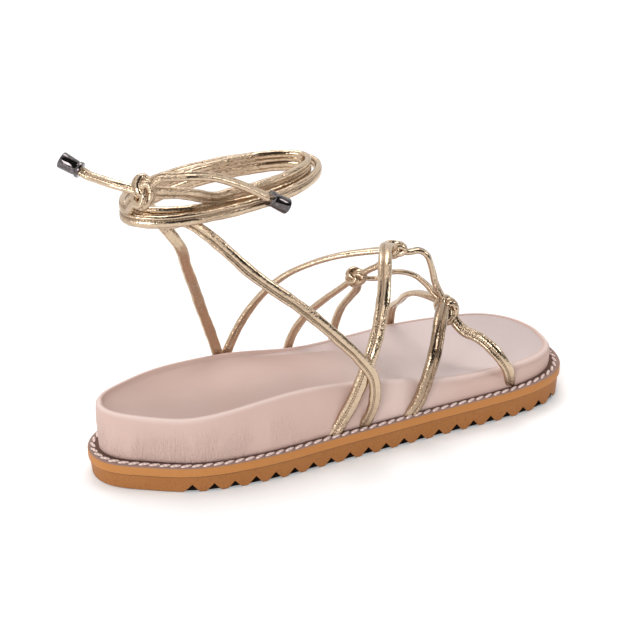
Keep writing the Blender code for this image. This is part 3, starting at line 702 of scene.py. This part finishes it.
# Cross-section of a cord, as shares of its half width and half thickness: a wide rib, a raised
# seam and a narrow rib on the outer face, and a shallow groove on the back.
CORD_SECTION = (
    # across, outwards
    (-1.00, 0.05), (-0.97, 0.35), (-0.88, 0.66), (-0.72, 0.88), (-0.48, 0.99), (-0.22, 1.00),
    (0.00, 0.93), (0.14, 0.78), (0.22, 0.66), (0.27, 0.74), (0.31, 0.92), (0.35, 0.95),
    (0.39, 0.90), (0.44, 0.70), (0.52, 0.72), (0.66, 0.77), (0.80, 0.68), (0.92, 0.44), (0.99, 0.15),
    (0.98, -0.25), (0.88, -0.62), (0.66, -0.88), (0.38, -0.96), (0.12, -0.90), (0.00, -0.82),
    (-0.12, -0.90), (-0.38, -0.98), (-0.66, -0.90), (-0.88, -0.62), (-0.98, -0.25),
)
SEAM_PLACE, STITCH_DENTS = 0.31, 0.0014

STRAPS = {
    # name: width in mm, side of the seam, is the seamed face turned out (1) or to the foot (-1),
    # then places in mm from the knot down to the welt or to the next knot
    "instep_medial": (7.0, -1, 1, (
        (146.4, 1.9, 92.5), (140.3, -2.8, 96.2), (134.0, -14.5, 93.6), (127.5, -27.0, 83.1),
        (123.1, -32.8, 74.4), (119.1, -36.7, 65.5), (112.8, -39.5, 51.7), (105.5, -38.6, 33.6),
        (94.4, -35.9, 12.3))),
    "ball_medial": (7.2, 1, 1, (
        (173.9, -8.0, 58.5), (168.6, -12.6, 61.2), (160.4, -24.5, 57.9), (152.7, -34.9, 48.9),
        (148.0, -37.6, 38.7), (143.2, -36.6, 24.0), (137.0, -33.6, 12.3))),
    "toe_medial": (6.2, -1, 1, (
        (173.0, -7.5, 58.8), (174.8, -13.1, 53.1), (178.0, -18.8, 48.4), (183.5, -24.2, 45.8),
        (188.0, -29.5, 41.7), (192.3, -33.2, 35.7), (197.2, -33.4, 26.7), (200.7, -28.7, 14.7))),
    "top_to_front": (4.8, 1, 1, (
        (146.4, 2.9, 91.5), (154.0, 0.8, 89.6), (159.7, -1.1, 90.2), (163.4, -3.2, 87.6),
        (165.7, -4.5, 80.6), (167.4, -5.7, 72.2), (170.7, -7.4, 64.4), (173.9, -8.0, 58.5))),
    "outer_to_front": (4.4, 1, 1, (
        (131.7, 15.2, 73.7), (142.4, 12.5, 72.2), (149.0, 10.4, 75.2), (155.5, 8.5, 75.0),
        (161.3, 5.6, 73.0), (165.7, 1.8, 69.0), (169.6, -4.5, 63.4), (173.9, -8.0, 58.5))),
    "outer_to_top": (5.6, 1, 1, (
        (131.7, 15.2, 73.7), (137.2, 9.9, 79.2), (141.1, 6.4, 82.9), (146.4, 2.9, 91.5))),
    "ball_lateral": (5.2, 1, -1, (
        (173.9, -8.0, 58.5), (169.1, -0.2, 61.4), (165.6, 11.8, 59.8), (163.9, 21.1, 54.9),
        (164.8, 29.8, 47.8), (164.7, 38.7, 40.1), (165.2, 43.3, 26.0), (163.9, 42.5, 14.2))),
    "heel_lateral": (5.4, -1, -1, (
        (146.4, 2.9, 91.5), (134.1, 9.1, 89.9), (121.6, 15.1, 87.6), (109.5, 21.4, 83.1),
        (97.9, 27.5, 76.5), (87.5, 32.0, 67.1), (78.5, 35.2, 55.4), (71.1, 37.0, 42.3),
        (65.3, 37.5, 28.2), (63.0, 37.0, 12.6))),
    "waist_lateral": (5.2, 1, -1, (
        (131.7, 15.2, 73.7), (126.0, 20.6, 66.7), (118.6, 27.2, 58.0), (111.0, 31.7, 49.6),
        (104.1, 34.2, 39.1), (100.3, 35.0, 28.1), (98.4, 34.3, 13.6))),
    "arch_lateral": (5.0, 1, -1, (
        (131.7, 15.2, 73.7), (134.5, 20.0, 65.0), (132.8, 25.6, 57.5), (130.6, 31.6, 49.2),
        (129.2, 36.9, 37.3), (128.2, 38.0, 26.4), (127.7, 37.2, 13.9))),
}
KNOTS = (
    # place in mm, size across, up and along its axis in mm, cord's width in mm, direction of the axis
    ((146.8, 2.6, 91.6), (1.90, 1.05, 1.25), 6.0, (-0.25, -0.80, 0.50)),
    ((172.0, -9.8, 57.9), (1.50, 2.10, 1.80), 7.4, (-0.20, -0.85, 0.50)),
    ((131.2, 14.6, 74.2), (1.45, 1.25, 1.25), 6.0, (-0.55, -0.70, 0.45)),
)


def metres(rows):
    return [Vector(row) / 1000 for row in rows]


def smooth_route(points):
    """Points about a route step apart on a smooth curve through the given ones."""
    placed = [points[0] * 2 - points[1]] + list(points) + [points[-1] * 2 - points[-2]]
    route = []
    for before, start, end, after in zip(placed, placed[1:], placed[2:], placed[3:]):
        count = max(1, round((end - start).length / ROUTE_STEP))
        for number in range(count):
            t = number / count
            bend = (end - before) * t + (before * 2 - start * 5 + end * 4 - after) * t ** 2
            bend += (start * 3 - before - end * 3 + after) * t ** 3
            route.append(start + bend / 2)
    route.append(points[-1].copy())
    return route


def lay_cord(name, route, width, outwards, seed, crush=CORD_CRUSH, seam_side=1):
    """A foil cord swept along a route, with its seamed face turned to outwards(point)."""
    rings, traits = [], []
    gone = 0.0
    side = None
    for index, point in enumerate(route):
        ahead = route[min(index + 1, len(route) - 1)] - route[max(index - 1, 0)]
        heading = ahead.normalized()
        gone += (point - route[index - 1]).length if index else 0.0
        out = outwards(point)
        out = (out - heading * out.dot(heading)).normalized()
        across = out.cross(heading)
        if side is not None:  # turns slowly where the outward direction swings fast
            across = across * (1 - TURN_EASE) + side * TURN_EASE
            across = (across - heading * across.dot(heading)).normalized()
            out = heading.cross(across)
        side = across
        wave = sum(math.sin(gone * rate + seed * offset) * share for rate, share, offset in CORD_WAVES)
        half = width / 2 * (1 + crush * wave)
        flat = half * STRAP_THICK * (1 - crush * wave)
        rings.append([
            point + across * (a * half * seam_side) + out * (h * flat) for a, h in CORD_SECTION])
        traits.append([(a, h, gone) for a, h in CORD_SECTION])
    return draw_out(name, rings, traits)


def overhand(wide, high, deep):
    """The tight run of a cord in an overhand knot, round the origin."""
    places = []
    for step in range(KNOT_STEPS + 3):  # a little more than once round, so that the ends are buried
        t = math.tau * step / KNOT_STEPS
        reach = 2 + math.cos(3 * t)
        turned = (reach * math.cos(2 * t), reach * math.sin(2 * t), math.sin(3 * t))
        places.append(Vector((wide * turned[0], high * turned[1], deep * turned[2])) / 1000)
    return places


def join(name, pieces):
    """One object from several, which keep their corners' traits."""
    bm = bmesh.new()
    for piece in pieces:
        bm.from_mesh(piece.data)
        bpy.data.objects.remove(piece, do_unlink=True)
    return set_down(name, bm)


gold_foil, place, link = new_finish(
    "gold_foil_leather", Roughness=0.2, Metallic=1.0, Coat_Weight=0.25, Coat_Roughness=0.06)
lie = read_trait(place)
across, out, along = lie.part(0), lie.part(1), lie.part(2)
outer_face = out.step(-0.2, 0.3)
beside_seam = (across - SEAM_PLACE).math("ABSOLUTE").bell(0.13, 0.07) * outer_face
pulled = place.noise(46.0, 1.0).step(0.46, 0.62)
crinkle = place.noise(650.0, 3.0, 0.6)
folds = lie.stretched(2.2, 0.0, 900.0).noise(1.0, 2.0, 0.6)
dents = (along * (math.tau / STITCH_DENTS)).math("SINE").step(-0.1, 0.8) * beside_seam
foil_tone = (crinkle.step(0.40, 0.75) * 0.30 + pulled * 0.15).blend(FOIL_GOLD, FOIL_DEEP)
painted_dark_reflection = place.part(0).bell(0.157, 0.030) * place.part(1).step(-0.004, -0.014)  # painted dark reflection on the inner straps over the ball
foil_tone = (painted_dark_reflection * 0.75).blend(foil_tone, FOIL_DARK_REFLECTION)
link(Base_Color=(beside_seam * 0.55 + dents * 0.4).blend(foil_tone, SEAM_BROWN),
     Roughness=0.10 + crinkle * 0.09 + pulled * 0.05 + beside_seam * 0.2,
     Normal=((crinkle - 0.5) * 0.45 + (folds - 0.5) * pulled * 1.4 - dents * 0.5).bump(0.00065, 0.85))


def from_foot(point):
    """Away from the foot's long middle line."""
    return Vector((0.0, point.y, max(point.z - FOOT_AXIS_HEIGHT, 0.0)))


strap_pieces = []
for number, (name, (width, seam_side, turned, rows)) in enumerate(STRAPS.items()):
    strap_pieces.append(lay_cord(
        name, smooth_route(metres(rows)), width / 1000, lambda p: from_foot(p) * turned,
        seed=number * 1.7, seam_side=seam_side))
for number, (spot, size, width, axis) in enumerate(KNOTS):
    centre = Vector(spot) / 1000
    lean = Vector(axis).to_track_quat("Z", "Y").to_matrix()
    route = [centre + lean @ p for p in overhand(*size)]
    strap_pieces.append(lay_cord(
        f"foot_knot_{number}", route, width / 1000, lambda p: p - centre,
        seed=number + 0.5, crush=KNOT_CRUSH))
upper = join("foot_straps", strap_pieces)
upper.data.materials.append(gold_foil)
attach(upper, "root")
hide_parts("upper")

# ---------------------------------------------------------------------------------------------
# Ankle ties. The same cord runs from the welt on each side up to the ankle, where both ties go round
# in slack oval turns, lower on the inner side, and meet in a knot at the rear.
TIE_WIDTH = 0.0060
ANKLE_HEIGHT, WRAP_PITCH, WRAP_TILT, WRAP_STEP = 0.1385, 0.0049, 0.0040, 0.006
WRAP_EDGE, WRAP_FLATNESS = 0.02, 3  # the turns' reach below, and how squarely they face sideways
CLIMB_LEAN = 0.004  # metres, by which the ties' faces look up on the way to the ankle
WRAP_MIDDLE, WRAP_LENGTH, WRAP_WIDTH, WRAP_YAW = Vector((0.0553, 0.0, 0.0)), 0.097, 0.0326, 13.75
TIES = {
    # tie: places up to the wrap, then first angle, last angle, pitches out and rise, then the way
    # to the knot; places in mm
    "medial": (
        ((112.2, -34.4, 13.4), (115.3, -41.4, 30.2), (113.9, -43.8, 46.7), (105.2, -43.5, 60.4),
         (95.2, -41.9, 71.9), (85.2, -40.1, 82.6), (75.1, -37.5, 92.2), (64.9, -34.4, 100.8),
         (55.2, -31.4, 109.7), (46.6, -27.9, 119.2), (37.9, -24.4, 128.4)),
        (232.0, -470.0, 0.0, 0.0), ((27.9, -22.8, 150.0), (18.1, -23.5, 152.2), (8.5, -23.0, 154.0))),
    "lateral": (
        ((64.9, 33.8, 12.1), (63.5, 36.1, 24.1), (61.0, 36.9, 36.8), (56.8, 34.9, 50.6),
         (51.5, 30.4, 65.3), (46.7, 25.8, 79.7), (40.7, 18.4, 95.1), (35.3, 10.9, 110.0),
         (24.7, 11.0, 126.7)),
        (130.0, 545.0, 1.15, 0.35), ((4.3, -20.0, 149.3), (8.5, -23.0, 154.0))),
}
ANKLE_KNOT = Vector((0.0085, -0.0230, 0.1540))
ANKLE_KNOT_SIZE, ANKLE_KNOT_CORD, ANKLE_KNOT_AXIS = (1.30, 2.30, 1.50), 0.0068, (-0.45, -0.80, 0.40)


def wrap_turns(first, last, out, rise):
    """Oval turns round the ankle from one angle to another, rising one pitch a turn."""
    half_length, half_across = WRAP_LENGTH / 2 + out * WRAP_PITCH, WRAP_WIDTH / 2 + out * WRAP_PITCH
    turned = math.radians(abs(last - first))
    steps = round(turned * math.hypot(half_length, half_across) / math.sqrt(2) / WRAP_STEP)
    yaw = Matrix.Rotation(math.radians(WRAP_YAW), 3, "Z")
    places = []
    for step in range(steps + 1):
        done = step / steps
        angle = math.radians(first + (last - first) * done)
        flat = yaw @ Vector((half_length * math.cos(angle), half_across * math.sin(angle), 0.0))
        height = ANKLE_HEIGHT + (rise + turned * done / math.tau) * WRAP_PITCH
        height -= WRAP_TILT * (1 - math.sin(angle)) / 2
        places.append(WRAP_MIDDLE + flat + Vector((0.0, 0.0, height)))
    return places


def from_ankle(point):
    """Away from the ankle's upright axis, and from the foot lower down."""
    if point.z > ANKLE_HEIGHT - WRAP_EDGE:
        return Vector((point.x - WRAP_MIDDLE.x, (point.y - WRAP_MIDDLE.y) * WRAP_FLATNESS, 0.0))
    return Vector((0.0, point.y, CLIMB_LEAN))


for number, (side, (climb, turns, last)) in enumerate(TIES.items()):
    route = smooth_route(metres(climb) + wrap_turns(*turns) + metres(last))
    tie = lay_cord(f"ankle_tie_{side}_foil", route, TIE_WIDTH, from_ankle, seed=7.0 + number)
    tie.data.materials.append(gold_foil)
    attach(tie, "root")
    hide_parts(f"ankle_tie_{side}")

lean = Vector(ANKLE_KNOT_AXIS).to_track_quat("Z", "Y").to_matrix()
route = [ANKLE_KNOT + lean @ p for p in overhand(*ANKLE_KNOT_SIZE)]
ankle_knot = lay_cord(
    "ankle_knot_foil", route, ANKLE_KNOT_CORD, lambda p: p - ANKLE_KNOT, seed=3.0, crush=KNOT_CRUSH)
ankle_knot.data.materials.append(gold_foil)
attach(ankle_knot, "root")
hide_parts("ankle_knot")

# ---------------------------------------------------------------------------------------------
# Free ends. From the knot both ties run on as two short ends, stiff enough to stand out. Each is
# pushed into a turned gunmetal tip: a collar, a barrel that widens, and an open end with a round lip.
ENDS = {
    # end: places in mm from the knot to just inside the tip, where the tip starts and its heading
    "short": (((8.5, -23.0, 154.0), (-3.1, -16.5, 157.4), (-8.5, -10.6, 158.7),
               (-11.9, -6.8, 159.6), (-15.6, -3.4, 162.2)),
              (-14.4, -4.4, 161.4), (-0.685, 0.591, 0.425)),
    "long": (((8.5, -23.0, 154.0), (15.0, -25.1, 160.0), (23.2, -26.0, 159.9), (32.0, -27.0, 159.3),
              (42.5, -26.8, 156.8), (54.6, -26.7, 151.1), (64.2, -26.3, 145.2), (69.6, -26.2, 141.7)),
             (68.1, -26.2, 142.6), (0.841, 0.0, -0.541)),
}
END_WIDTH, END_CRUSH, END_FACE = 0.0050, 0.03, Vector((0.0, -0.5, 1.0))
TIP_RADIUS, TIP_LENGTH, TIP_WALL, TIP_HOLE = 0.0035, 0.0105, 0.0008, 0.0032
TIP_COLLAR, TIP_COLLAR_RISE, TIP_ROUND, TIP_FLARE = 0.0019, 0.0004, 0.0003, 0.0005
TIP_STEPS, TIP_SHARP = 48, 50  # faces round it, and degrees from which an edge stays crisp
GUNMETAL = (0.090, 0.076, 0.078, 1.0)
GUNMETAL_WORN = (0.210, 0.185, 0.180, 1.0)

gunmetal, place, link = new_finish(
    "gunmetal", Roughness=0.2, Metallic=1.0, Coat_Weight=0.5, Coat_Roughness=0.05)
streak = place.noise(700.0, 3.0, 0.6)
link(Base_Color=streak.step(0.45, 0.75).blend(GUNMETAL, GUNMETAL_WORN),
     Roughness=0.07 + streak * 0.08, Normal=streak.bump(0.00003, 0.3))

for end, (rows, mouth, heading) in ENDS.items():
    collar = TIP_RADIUS + TIP_COLLAR_RISE
    bore = TIP_RADIUS - TIP_WALL
    mouth_radius = TIP_RADIUS + TIP_FLARE
    profile = (
        (0.0, 0.0), (collar - 2 * TIP_ROUND, 0.0), (collar - TIP_ROUND * 0.3, TIP_ROUND * 0.4),
        (collar, TIP_ROUND * 1.4), (collar, TIP_COLLAR - TIP_ROUND), (collar - TIP_ROUND, TIP_COLLAR),
        (TIP_RADIUS - TIP_ROUND, TIP_COLLAR + TIP_ROUND), (TIP_RADIUS, TIP_COLLAR + 3 * TIP_ROUND),
        (mouth_radius, TIP_LENGTH - 2 * TIP_ROUND),
        (mouth_radius - TIP_ROUND * 0.4, TIP_LENGTH - TIP_ROUND * 0.5),
        (mouth_radius - TIP_ROUND, TIP_LENGTH), (bore, TIP_LENGTH - TIP_ROUND * 0.6),
        (bore, TIP_LENGTH - TIP_HOLE), (0.0, TIP_LENGTH - TIP_HOLE))
    bm = bmesh.new()
    points = [bm.verts.new((x, 0.0, z)) for x, z in profile]
    edges = [bm.edges.new(pair) for pair in zip(points, points[1:])]
    bmesh.ops.spin(bm, geom=points + edges, cent=(0, 0, 0), axis=(0, 0, 1),
                   angle=math.tau, steps=TIP_STEPS, use_merge=True)
    bmesh.ops.remove_doubles(bm, verts=bm.verts, dist=0.00001)
    bmesh.ops.recalc_face_normals(bm, faces=bm.faces)
    aim = Vector(heading).to_track_quat("Z", "Y").to_matrix().to_4x4()
    bmesh.ops.transform(bm, matrix=Matrix.Translation(Vector(mouth) / 1000) @ aim, verts=bm.verts)
    tip = set_down(f"tie_tip_{end}_gunmetal", bm)
    tip.data.shade_smooth()
    tip.data.set_sharp_from_angle(angle=math.radians(TIP_SHARP))
    tip.data.materials.append(gunmetal)
    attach(tip, "root")
    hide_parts(f"tie_tip_{end}")

    route = smooth_route(metres(rows))
    cord = lay_cord(f"tie_end_{end}_foil", route, END_WIDTH, lambda p: END_FACE,
                    seed=11.0 + len(rows), crush=END_CRUSH)
    cord.data.materials.append(gold_foil)
    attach(cord, "root")
    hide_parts(f"tie_end_{end}")
    length = sum((b - a).length for a, b in zip(route, route[1:]))
    tuple(route[0])
    [tuple(p) for p in route]
